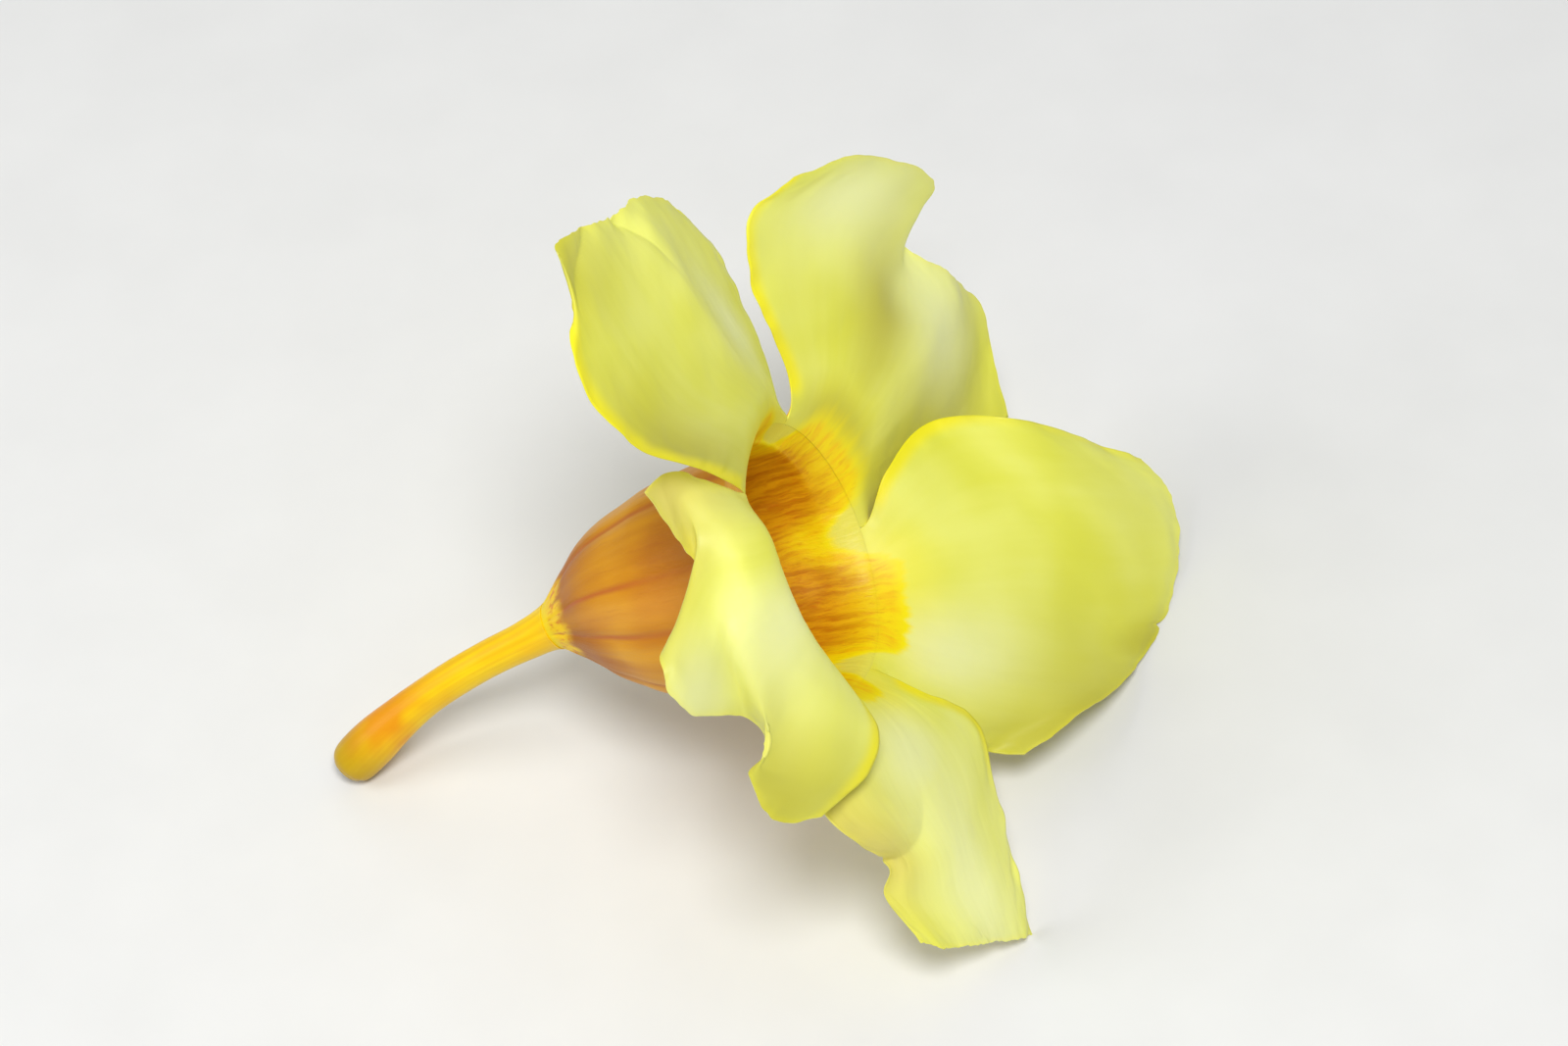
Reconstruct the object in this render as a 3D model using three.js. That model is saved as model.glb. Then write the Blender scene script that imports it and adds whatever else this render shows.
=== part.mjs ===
// Allamanda flower (golden trumpet), picked and lying on a surface.
// A narrow curved tube swells into a bell-shaped throat, and five broad petals open from the
// throat's mouth, each lying over its neighbour like the blades of a pinwheel. Deep in the throat
// sit five scales, and behind them the five stamens.
// Millimetres. The flower is modelled about its own axis: z runs out of the mouth, the mouth's
// rim is at z = 0, and angles are counted about z. The outer groups lay it down: +Z is up, and
// the mouth looks along +X.
import * as THREE from "three";

// ---------- driving dimensions ----------
const PETAL_COUNT = 5;
const PETAL_SPACING = 360 / PETAL_COUNT; // degrees
const FIRST_PETAL_ANGLE = -14; // degrees, the bottom petal's direction
const RIM_RADIUS = 17; // of the mouth, where the five petals part
const PETAL_THICKNESS = 0.7;
const PETAL_PARTING = 1.2; // degrees left free at each side of a petal's base
const THROAT_WALL = 0.9;
const TUBE_WALL = 0.8;
const RIDGE_HEIGHT = 0.022; // of the throat's five ridges, as a share of its radius
const SCALE_THICKNESS = 0.5;

// How the flower lies: spun about its own axis, leaned over, turned to face +X, then lifted.
const REST_SPIN = -46;
const REST_LEAN = 65.2;
const REST_HEADING = -2.7;
const REST_POSITION = [9.16, -3.65, 36.65];

// ---------- petals ----------
// Each petal is a net of points [across, out, forward]: across runs along the rim towards the
// next petal round, out is the distance from the flower's axis, and forward is along the axis.
// The rows run from the rim, which is row 0 and is worked out, to the tip. Each row goes from the
// margin that lies under one neighbour to the margin that lies over the other.
const PETALS = {
  petal_bottom: {
    place: 0,
    stepsAcross: 16,
    rows: [
      [[-12, 17.5, 0.8], [-7, 21, 3], [-0.5, 22.5, 4.8], [5.5, 21, 6], [9.4, 18.4, 6.3]],
      [[-13.9, 34, 1], [-8, 32, 4], [0, 31.5, 7], [9, 28, 8.5], [18.1, 22.3, 9.3]],
      [[-3.2, 40, 3], [-0.5, 39, 5.5], [4, 38.5, 7.5], [9.5, 36.5, 9], [16.8, 33.5, 9.8]],
      [[-0.3, 42.8, 0], [3.5, 44, 3], [7.5, 44, 6], [12.5, 43.5, 8.5], [17.8, 42.5, 9.7]],
      [[4.6, 48.8, 1], [8.4, 50, 3.2], [13.6, 49.9, 5.5], [17.8, 49.6, 7], [22.5, 49.2, 8.5]],
    ],
  },
  petal_right: {
    place: 1,
    stepsAcross: 18,
    rows: [
      [[-13, 16.5, 1], [-8.5, 20.5, 4.5], [0, 22.5, 6.5], [9, 20, 7], [16.1, 12.5, 5]],
      [[-18, 21.5, 3], [-10, 28, 9.5], [1, 31.5, 13.5], [13.5, 28.5, 14.5], [23.9, 17, 10]],
      [[-16.4, 29.9, 6], [-9.5, 36, 14.5], [2.5, 42, 18.8], [16, 39.5, 21], [25.4, 26.7, 19]],
      [
        [-17.1, 32.9, 11], [-12.2, 37.6, 16.6], [-2.2, 47.6, 21], [6.3, 53.4, 23.5],
        [16.1, 55, 25.5], [24.6, 53.8, 26], [27.8, 47.7, 25],
      ],
    ],
  },
  petal_top: {
    place: 2,
    stepsAcross: 18,
    rows: [
      [[-12, 17.5, 0.6], [-6.5, 21.5, 3.5], [0.5, 22.8, 5.6], [7.5, 21.8, 5.2], [13.1, 18.1, 2]],
      [[-19, 25.5, 2], [-9, 30, 7.5], [2, 31, 11], [14.5, 28, 9.5], [26.2, 19.4, 4.5]],
      [[-24, 34, 6.5], [-12, 39, 11], [3.5, 37, 12.5], [20, 34, 13], [34, 22.9, 7.5]],
      [
        [-23.5, 41.9, 12], [-10.7, 49.1, 14], [0.1, 44.7, 15], [9.1, 42.5, 14],
        [11, 49.5, 18.5], [25.7, 39.5, 17.5], [33, 29.3, 12.8],
      ],
    ],
  },
  petal_left: {
    place: 3,
    stepsAcross: 18,
    rows: [
      [[-6.8, 17.9, 2], [-1.5, 21.5, 4.5], [5, 22.8, 5.5], [13, 22.5, 5], [20.9, 22.1, 3.5]],
      [[-6, 26, 4.2], [2, 29.5, 6], [12, 31, 6.3], [24, 32.5, 5.5], [34.9, 33.7, 3.5]],
      [[-5.7, 36.5, 4.8], [4, 39, 6], [14, 41.5, 6], [26, 43.5, 4.5], [35.9, 45.3, 1.5]],
      [
        [-2.6, 45.1, 4.8], [1.1, 49.4, 5], [9.1, 53.3, 4.8], [14.3, 53.6, 4],
        [20.2, 55.8, 3.5], [26.8, 56.5, 2], [25.7, 51.8, 2],
      ],
    ],
  },
  petal_near: {
    place: 4,
    stepsAcross: 20,
    rows: [
      [[-11.5, 18.5, 1.5], [-6, 20.5, 4.6], [0, 21.5, 5.2], [6.5, 20.5, 5.4], [13.6, 14.5, 4.5]],
      [[-14.6, 25.1, 0.8], [-7, 25.5, 3.5], [0, 26.5, 4], [9, 24.5, 4.8], [20.7, 15.5, 7]],
      [[-16.6, 29.5, -0.5], [-8.5, 28.5, 0], [1, 30.5, 0], [12, 28.5, 2], [25.2, 20, 6]],
      [
        [-15.6, 34.4, -2], [-8.1, 28.7, -2.5], [-3.2, 26.8, -2.5], [1.1, 33.8, -4.5],
        [5.8, 39, -6], [10.5, 36.5, -5], [13.4, 27.9, -3], [17.4, 29.2, -1.5],
        [20.8, 35, -1.5], [25.5, 34.3, 0], [27.2, 29.5, 3],
      ],
    ],
  },
};
const PETAL_STEPS_OUT = 15;

// ---------- throat and tube ----------
// The line that the throat and the tube follow, as [x, y, z, radius] from the tube's end.
const TUBE_LINE = [
  [7.9, 0, -71.2, 1.9],
  [7.3, 0, -70, 2.7],
  [5.7, 0, -66.4, 2.8],
  [3.9, 0, -62, 2.4],
  [2.3, 0, -57.2, 2.1],
  [1, 0, -52, 2.05],
  [0, 0, -46.6, 2.05],
  [-0.7, 0, -41.2, 2.2],
  [-1.4, 0, -36.4, 2.9],
];
const THROAT_LINE = [
  [-1.5, 0, -35.8, 3.3],
  [-1.6, 0, -34, 4.6],
  [-1.7, 0, -31.4, 6.5],
  [-1.7, 0, -28, 9.1],
  [-1.5, 0, -24, 11.1],
  [-1, 0, -19, 13],
  [-0.6, 0, -13, 14.2],
  [-0.3, 0, -7, 15.1],
  [-0.1, 0, -3.4, 15.8],
  [0, 0, -0.9, 16.55],
];
const TUBE_STEPS = [16, 16];
const THROAT_STEPS = [18, 40];

// ---------- scales and stamens ----------
const INNER_AXIS_X = -1.7; // the throat's centre line where they stand
const SCALE_SPREAD = 25; // degrees to each side
const SCALE_LINE = [[5.1, -31], [4.6, -29.4], [3.5, -27.6]]; // [distance from the axis, z]
const STAMEN_LINE = [
  [3.6, -33.5, 0.25],
  [2.9, -32.6, 0.25],
  [2.5, -31.9, 0.5],
  [2.1, -30.6, 0.62],
  [1.5, -28.8, 0.5],
  [0.9, -27, 0.2],
]; // [distance from the axis, z, radius]

// ---------- small helpers ----------
const radians = THREE.MathUtils.degToRad;

// A smooth curve through values that are spaced evenly from 0 to 1.
function throughValues(values, at) {
  const last = values.length - 1;
  const place = THREE.MathUtils.clamp(at, 0, 1) * last;
  const i = Math.min(Math.floor(place), last - 1);
  const f = place - i;
  const before = i > 0 ? values[i - 1] : 2 * values[0] - values[1];
  const after = i + 2 <= last ? values[i + 2] : 2 * values[last] - values[last - 1];
  const slopeIn = (values[i + 1] - before) / 2;
  const slopeOut = (after - values[i]) / 2;
  const rise = values[i + 1] - values[i];
  const bend = 3 * rise - 2 * slopeIn - slopeOut;
  return values[i] + f * (slopeIn + f * (bend + f * (slopeIn + slopeOut - 2 * rise)));
}

const throughRows = (rows, column, at) => throughValues(rows.map((row) => row[column]), at);

function geometryOf(positions, faces) {
  const geometry = new THREE.BufferGeometry();
  geometry.setAttribute("position", new THREE.Float32BufferAttribute(positions, 3));
  geometry.setIndex(faces);
  geometry.computeVertexNormals();
  return geometry;
}

// A sheet of even thickness. point(u, v) is its middle surface, with u and v from 0 to 1, and
// wraps joins its two sides into a pipe.
function sheetGeometry(point, thickness, [uSteps, vSteps], wraps = false) {
  const columns = wraps ? vSteps : vSteps + 1;
  const reach = 1e-3;
  const inside = (x) => THREE.MathUtils.clamp(x, 0, 1);
  const acrossEnd = (v) => (wraps ? v : inside(v));
  const positions = [];
  for (const side of [0.5, -0.5]) {
    for (let i = 0; i <= uSteps; i += 1) {
      for (let j = 0; j < columns; j += 1) {
        const u = i / uSteps;
        const v = j / vSteps;
        const along = point(inside(u + reach), v).sub(point(inside(u - reach), v));
        const across = point(u, acrossEnd(v + reach)).sub(point(u, acrossEnd(v - reach)));
        const normal = along.cross(across).normalize();
        positions.push(...point(u, v).addScaledVector(normal, side * thickness));
      }
    }
  }
  const faces = [];
  const quad = (a, b, c, d) => faces.push(a, b, c, a, c, d);
  const at = (i, j) => i * columns + (j % columns);
  const back = (uSteps + 1) * columns;
  for (let i = 0; i < uSteps; i += 1) {
    for (let j = 0; j < vSteps; j += 1) {
      const [a, b, c, d] = [at(i, j), at(i + 1, j), at(i + 1, j + 1), at(i, j + 1)];
      quad(a, b, c, d);
      quad(back + a, back + d, back + c, back + b);
    }
  }
  for (let j = 0; j < vSteps; j += 1) {
    quad(at(0, j), at(0, j + 1), back + at(0, j + 1), back + at(0, j));
    quad(at(uSteps, j + 1), at(uSteps, j), back + at(uSteps, j), back + at(uSteps, j + 1));
  }
  for (let i = 0; i < uSteps && !wraps; i += 1) {
    quad(at(i + 1, 0), at(i, 0), back + at(i, 0), back + at(i + 1, 0));
    quad(at(i, vSteps), at(i + 1, vSteps), back + at(i + 1, vSteps), back + at(i, vSteps));
  }
  return geometryOf(positions, faces);
}

// A solid of round sections: each row is [x, y, z, radius], and both ends are closed.
function roundedRod(rows, sides) {
  const positions = [];
  for (const [x, y, z, radius] of rows) {
    for (let j = 0; j < sides; j += 1) {
      const angle = (j / sides) * 2 * Math.PI;
      positions.push(x + radius * Math.cos(angle), y + radius * Math.sin(angle), z);
    }
  }
  const low = positions.length / 3;
  const high = low + 1;
  const [first, last] = [rows[0], rows[rows.length - 1]];
  positions.push(first[0], first[1], first[2] - first[3] / 2);
  positions.push(last[0], last[1], last[2] + last[3] / 2);
  const faces = [];
  const at = (i, j) => i * sides + (j % sides);
  for (let j = 0; j < sides; j += 1) {
    faces.push(low, at(0, j + 1), at(0, j));
    faces.push(high, at(rows.length - 1, j), at(rows.length - 1, j + 1));
    for (let i = 0; i < rows.length - 1; i += 1) {
      faces.push(at(i, j), at(i, j + 1), at(i + 1, j + 1));
      faces.push(at(i, j), at(i + 1, j + 1), at(i + 1, j));
    }
  }
  return geometryOf(positions, faces);
}

// ---------- surfaces ----------
function petalSurface({ place, rows }) {
  const halfAngle = PETAL_SPACING / 2 - PETAL_PARTING;
  const rim = [-1, -0.5, 0, 0.5, 1].map((side) => {
    const angle = radians(side * halfAngle);
    return [RIM_RADIUS * Math.sin(angle), RIM_RADIUS * Math.cos(angle), 0];
  });
  const net = [rim, ...rows];
  const upright = new THREE.Vector3(0, 0, 1);
  const direction = radians(FIRST_PETAL_ANGLE + place * PETAL_SPACING);
  return (u, v) => {
    const [across, out, forward] = [0, 1, 2].map((k) =>
      throughValues(net.map((row) => throughRows(row, k, v)), u),
    );
    return new THREE.Vector3(out, across, forward).applyAxisAngle(upright, direction);
  };
}

// A round surface that follows a line; ridges swell it at the five petals' directions.
function roundSurface(line, ridgeHeight) {
  const centre = (s) => new THREE.Vector3(...[0, 1, 2].map((k) => throughRows(line, k, s)));
  return (s, turn) => {
    const along = centre(Math.min(s + 0.01, 1)).sub(centre(Math.max(s - 0.01, 0))).normalize();
    const ahead = new THREE.Vector3(1, 0, 0).projectOnPlane(along).normalize();
    const side = new THREE.Vector3().crossVectors(along, ahead);
    const angle = turn * 2 * Math.PI;
    const wave = Math.cos(PETAL_COUNT * (angle - radians(FIRST_PETAL_ANGLE)));
    const ridges = 1 + ridgeHeight * wave * Math.sin(Math.PI * s);
    const radius = throughRows(line, 3, s) * ridges;
    return centre(s)
      .addScaledVector(ahead, radius * Math.cos(angle))
      .addScaledVector(side, radius * Math.sin(angle));
  };
}

// A small tongue that leans in from the throat's wall and narrows to its tip.
function scaleSurface(u, v) {
  const spread = radians(SCALE_SPREAD) * (2 * v - 1) * (1 - 0.55 * u * u);
  const [out, z] = [0, 1].map((k) => throughRows(SCALE_LINE, k, u));
  return new THREE.Vector3(out * Math.cos(spread), out * Math.sin(spread), z);
}

// ---------- the flower ----------
const COLOURS = {
  petal: 0xe4e56c,
  throat: 0xcd8c1c,
  tube: 0xf0cc14,
  scale: 0xd7a12a,
  stamen: 0xe6c84a,
};
const flower = new THREE.Group();

function addPiece(name, geometry, colour, roughness, group = flower) {
  const material = new THREE.MeshStandardMaterial({ color: colour, roughness, metalness: 0 });
  const mesh = new THREE.Mesh(geometry, material);
  mesh.name = name;
  group.add(mesh);
}

const tube = roundSurface(TUBE_LINE, 0);
addPiece("corolla_tube", sheetGeometry(tube, TUBE_WALL, TUBE_STEPS, true), COLOURS.tube, 0.5);

const throat = roundSurface(THROAT_LINE, RIDGE_HEIGHT);
addPiece("throat", sheetGeometry(throat, THROAT_WALL, THROAT_STEPS, true), COLOURS.throat, 0.5);

for (const [name, petal] of Object.entries(PETALS)) {
  const steps = [PETAL_STEPS_OUT, petal.stepsAcross];
  const geometry = sheetGeometry(petalSurface(petal), PETAL_THICKNESS, steps);
  addPiece(name, geometry, COLOURS.petal, 0.55);
}

for (let k = 0; k < PETAL_COUNT; k += 1) {
  const ring = new THREE.Group();
  ring.position.x = INNER_AXIS_X;
  ring.rotation.z = radians(FIRST_PETAL_ANGLE + (k + 0.5) * PETAL_SPACING);
  const scale = sheetGeometry(scaleSurface, SCALE_THICKNESS, [5, 8]);
  addPiece(`throat_scale_${k + 1}`, scale, COLOURS.scale, 0.7, ring);
  const stamen = roundedRod(STAMEN_LINE.map(([out, z, radius]) => [out, 0, z, radius]), 8);
  addPiece(`stamen_${k + 1}`, stamen, COLOURS.stamen, 0.6, ring);
  flower.add(ring);
}

// ---------- laid down ----------
flower.rotation.z = radians(REST_SPIN);
const leaned = new THREE.Group();
leaned.rotation.y = radians(REST_LEAN);
leaned.add(flower);
const laid = new THREE.Group();
laid.rotation.z = radians(REST_HEADING);
laid.position.set(...REST_POSITION);
laid.add(leaned);
const part = new THREE.Group();
part.add(laid);
export default part;
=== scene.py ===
"""Allamanda flower, picked and lying down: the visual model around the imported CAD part.

The petals, throat and tube are built from the same lines and nets as the CAD part, on a finer
grid, with the creases, ruffles and veins that the real petals have. Lengths are in millimetres
until the meshes are made, and in metres for the floor, the lights and the camera.
"""

import math

import bpy
import numpy as np
from mathutils import Matrix, Vector


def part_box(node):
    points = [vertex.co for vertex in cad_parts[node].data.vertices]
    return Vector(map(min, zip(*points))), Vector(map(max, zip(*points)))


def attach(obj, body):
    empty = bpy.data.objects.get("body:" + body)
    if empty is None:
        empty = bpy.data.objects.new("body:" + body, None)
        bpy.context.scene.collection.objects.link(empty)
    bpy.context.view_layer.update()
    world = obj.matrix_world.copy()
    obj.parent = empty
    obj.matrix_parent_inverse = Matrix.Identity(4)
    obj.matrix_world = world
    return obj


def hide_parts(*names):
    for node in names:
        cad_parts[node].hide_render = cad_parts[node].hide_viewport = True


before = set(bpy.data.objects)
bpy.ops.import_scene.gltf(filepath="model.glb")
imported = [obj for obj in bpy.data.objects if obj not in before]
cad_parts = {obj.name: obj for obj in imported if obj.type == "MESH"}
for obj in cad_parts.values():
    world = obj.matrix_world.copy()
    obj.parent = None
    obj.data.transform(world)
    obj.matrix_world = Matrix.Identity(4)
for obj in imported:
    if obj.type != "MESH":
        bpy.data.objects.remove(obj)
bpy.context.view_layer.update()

# ---------- driving dimensions, as in the CAD part ----------
MM = 0.001
PETAL_COUNT = 5
SPACING = 360 / PETAL_COUNT
FIRST_PETAL_ANGLE = -14
RIM_RADIUS = 17
RIM_FLARE = 34  # degrees from the flower's axis, the direction in which the throat ends
REST_SPIN, REST_LEAN, REST_HEADING = -46, 65.2, -2.7
RIDGE_HEIGHT = 0.022  # of the throat's ridges, as a share of its radius
CAD_THROAT_WALL = 0.9
CAD_THROAT_GRID = 40, 200  # rows and columns

PETALS = {
    "petal_bottom": (0, [
        [[-12, 17.5, 0.8], [-7, 21, 3], [-0.5, 22.5, 4.8], [5.5, 21, 6], [9.4, 18.4, 6.3]],
        [[-13.9, 34, 1], [-8, 32, 4], [0, 31.5, 7], [9, 28, 8.5], [18.1, 22.3, 9.3]],
        [[-3.2, 40, 3], [-0.5, 39, 5.5], [4, 38.5, 7.5], [9.5, 36.5, 9], [16.8, 33.5, 9.8]],
        [[-0.3, 42.8, 0], [3.5, 44, 3], [7.5, 44, 6], [12.5, 43.5, 8.5], [17.8, 42.5, 9.7]],
        [[4.6, 48.8, 1], [8.4, 50, 3.2], [13.6, 49.9, 5.5], [17.8, 49.6, 7], [22.5, 49.2, 8.5]],
    ]),
    "petal_right": (1, [
        [[-13, 16.5, 1], [-8.5, 20.5, 4.5], [0, 22.5, 6.5], [9, 20, 7], [16.1, 12.5, 5]],
        [[-18, 21.5, 3], [-10, 28, 9.5], [1, 31.5, 13.5], [13.5, 28.5, 14.5], [23.9, 17, 10]],
        [[-16.4, 29.9, 6], [-9.5, 36, 14.5], [2.5, 42, 18.8], [16, 39.5, 21], [25.4, 26.7, 19]],
        [
            [-17.1, 32.9, 11], [-12.2, 37.6, 16.6], [-2.2, 47.6, 21], [6.3, 53.4, 23.5],
            [16.1, 55, 25.5], [24.6, 53.8, 26], [27.8, 47.7, 25],
        ],
    ]),
    "petal_top": (2, [
        [[-12, 17.5, 0.6], [-6.5, 21.5, 3.5], [0.5, 22.8, 5.6], [7.5, 21.8, 5.2], [13.1, 18.1, 2]],
        [[-19, 25.5, 2], [-9, 30, 7.5], [2, 31, 11], [14.5, 28, 9.5], [26.2, 19.4, 4.5]],
        [[-24, 34, 6.5], [-12, 39, 11], [3.5, 37, 12.5], [20, 34, 13], [34, 22.9, 7.5]],
        [
            [-23.5, 41.9, 12], [-10.7, 49.1, 14], [0.1, 44.7, 15], [9.1, 42.5, 14],
            [11, 49.5, 18.5], [25.7, 39.5, 17.5], [33, 29.3, 12.8],
        ],
    ]),
    "petal_left": (3, [
        [[-6.8, 17.9, 2], [-1.5, 21.5, 4.5], [5, 22.8, 5.5], [13, 22.5, 5], [20.9, 22.1, 3.5]],
        [[-6, 26, 4.2], [2, 29.5, 6], [12, 31, 6.3], [24, 32.5, 5.5], [34.9, 33.7, 3.5]],
        [[-5.7, 36.5, 4.8], [4, 39, 6], [14, 41.5, 6], [26, 43.5, 4.5], [35.9, 45.3, 1.5]],
        [
            [-2.6, 45.1, 4.8], [1.1, 49.4, 5], [9.1, 53.3, 4.8], [14.3, 53.6, 4],
            [20.2, 55.8, 3.5], [26.8, 56.5, 2], [25.7, 51.8, 2],
        ],
    ]),
    "petal_near": (4, [
        [[-11.5, 18.5, 1.5], [-6, 20.5, 4.6], [0, 21.5, 5.2], [6.5, 20.5, 5.4], [13.6, 14.5, 4.5]],
        [[-14.6, 25.1, 0.8], [-7, 25.5, 3.5], [0, 26.5, 4], [9, 24.5, 4.8], [20.7, 15.5, 7]],
        [[-16.6, 29.5, -0.5], [-8.5, 28.5, 0], [1, 30.5, 0], [12, 28.5, 2], [25.2, 20, 6]],
        [
            [-15.6, 34.4, -2], [-8.1, 28.7, -2.5], [-3.2, 26.8, -2.5], [1.1, 33.8, -4.5],
            [5.8, 39, -6], [10.5, 36.5, -5], [13.4, 27.9, -3], [17.4, 29.2, -1.5],
            [20.8, 35, -1.5], [25.5, 34.3, 0], [27.2, 29.5, 3],
        ],
    ]),
}
TUBE_LINE = [
    [7.9, 0, -71.2, 1.9], [7.3, 0, -70, 2.7], [5.7, 0, -66.4, 2.8], [3.9, 0, -62, 2.4],
    [2.3, 0, -57.2, 2.1], [1, 0, -52, 2.05], [0, 0, -46.6, 2.05], [-0.7, 0, -41.2, 2.2],
    [-1.4, 0, -36.4, 2.9],
]
THROAT_LINE = [
    [-1.5, 0, -35.8, 3.3], [-1.6, 0, -34, 4.6], [-1.7, 0, -31.4, 6.5], [-1.7, 0, -28, 9.1],
    [-1.5, 0, -24, 11.1], [-1, 0, -19, 13], [-0.6, 0, -13, 14.2], [-0.3, 0, -7, 15.1],
    [-0.1, 0, -3.4, 15.8], [0, 0, -0.9, 16.55],
]
# The visible throat runs on to meet the tube and the petals.
VISIBLE_THROAT_LINE = [
    [-1.4, 0, -36.4, 2.9], [-1.5, 0, -35.5, 3.5], *THROAT_LINE[1:-2],
    [0, 0, -3.4, 15.6], [0, 0, 0, RIM_RADIUS],
]
# The next row that each line heads for: the throat into the petals, the tube into the throat.
BEYOND_RIM = [0, 0, 3.2, 20]
BEYOND_TUBE = [-1.6, 0, -32.4, 5.6]
INNER_AXIS_X = -1.7
SCALE_SPREAD = 25
SCALE_LINE = [[5.1, -31], [4.6, -29.4], [3.5, -27.6]]
STAMEN_LINE = [
    [3.6, -33.5, 0.25], [2.9, -32.6, 0.25], [2.5, -31.9, 0.5], [2.1, -30.6, 0.62],
    [1.5, -28.8, 0.5], [0.9, -27, 0.2],
]

# ---------- dimensions of the visual model only ----------
# Thickness at the free edge, and what is added away from it.
PETAL_EDGE, PETAL_BODY = 0.14, 0.3
SCALE_EDGE, SCALE_BODY = 0.1, 0.3
THROAT_THICKNESS, TUBE_THICKNESS = 0.44, 0.7
# Rows and columns of the grids, and the stamens' rings and sides.
PETAL_ROWS, PETAL_COLUMNS = 150, 161
THROAT_GRID, TUBE_GRID, SCALE_GRID = (140, 300), (110, 96), (30, 31)
STAMEN_RINGS, STAMEN_SIDES = 40, 24
# The first seed of each kind of noise.
RELIEF_SEED, MARGIN_SEED, THROAT_SEED, TUBE_SEED, SCALE_SEED = 100, 300, 7, 11, 40


# ---------- curves, noise ----------
def through(values, at, before=None, after=None):
    """A smooth curve through rows of values spaced evenly from 0 to 1, at an array of places."""
    values = np.asarray(values, float)
    last = len(values) - 1
    before = 2 * values[0] - values[1] if before is None else before
    after = 2 * values[last] - values[last - 1] if after is None else after
    padded = np.concatenate([[before], values, [after]])
    place = np.clip(at, 0, 1) * last
    i = np.minimum(np.floor(place).astype(int), last - 1)
    f = (place - i).reshape((-1,) + (1,) * (values.ndim - 1))
    p0, p1, p2, p3 = padded[i], padded[i + 1], padded[i + 2], padded[i + 3]
    a, b = (p2 - p0) / 2, (p3 - p1) / 2
    return p1 + f * (a + f * (3 * (p2 - p1) - 2 * a - b + f * (a + b - 2 * (p2 - p1))))


def ramp(x, low, high):
    """Climbs smoothly from 0 at low to 1 at high; low may be the larger number."""
    t = np.clip((x - low) / (high - low), 0, 1)
    return t * t * (3 - 2 * t)


def bell(x, centre, width):
    """1 at the centre, falling off to both sides."""
    return np.exp(-(((x - centre) / width) ** 2))


class Noise:
    """Smooth value noise over a plane, from -1 to 1."""

    CELLS = 64
    LAYERED_SUM = 1.75  # the sizes of three octaves together

    def __init__(self, seed):
        self.table = np.random.default_rng(seed).uniform(-1, 1, (self.CELLS, self.CELLS))

    def corner(self, x, y):
        return self.table[x % self.CELLS, y % self.CELLS]

    def __call__(self, x, y):
        xi, yi = np.floor(x).astype(int), np.floor(y).astype(int)
        fx, fy = (f**3 * (f * (6 * f - 15) + 10) for f in (x - xi, y - yi))
        low = self.corner(xi, yi) * (1 - fx) + self.corner(xi + 1, yi) * fx
        high = self.corner(xi, yi + 1) * (1 - fx) + self.corner(xi + 1, yi + 1) * fx
        return low * (1 - fy) + high * fy

    def layered(self, x, y, octaves=3):
        """Octaves of the noise, each twice as fine and half as high as the one before."""
        total, size = 0, 1.0
        for k in range(octaves):
            total = total + size * self(x * 2**k + 17 * k, y * 2**k + 5 * k)
            size *= 0.5
        return total / self.LAYERED_SUM


# ---------- the row frame ----------
def turn_z(degrees):
    return np.array(Matrix.Rotation(math.radians(degrees), 3, "Z"))


def turn_y(degrees):
    return np.array(Matrix.Rotation(math.radians(degrees), 3, "Y"))


REST = turn_z(REST_HEADING) @ turn_y(REST_LEAN) @ turn_z(REST_SPIN)


def petal_frame(place):
    """Turns [across, out, forward] of a petal into the flower's own x, y, z."""
    a = math.radians(FIRST_PETAL_ANGLE + place * SPACING)
    return np.array([[-math.sin(a), math.cos(a), 0], [math.cos(a), math.sin(a), 0], [0, 0, 1]])


# ---------- sheets ----------
def slopes(points, axis, wraps):
    """How the points of a grid change along its rows or columns."""
    if wraps:
        return np.roll(points, -1, axis) - np.roll(points, 1, axis)
    return np.gradient(points, axis=axis)


def normals_of(points, wraps=False):
    """The unit normal at every point of a grid."""
    normal = np.cross(slopes(points, 0, False), slopes(points, 1, wraps))
    return normal / np.maximum(np.linalg.norm(normal, axis=2, keepdims=True), 1e-9)


def relaxed(points, passes):
    """The inside of a grid evened out; its margins stay."""
    for _ in range(passes):
        inner = points[1:-1, 1:-1]
        around = points[:-2, 1:-1] + points[2:, 1:-1] + points[1:-1, :-2] + points[1:-1, 2:]
        points[1:-1, 1:-1] = 0.5 * inner + 0.125 * around
    return points


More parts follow.
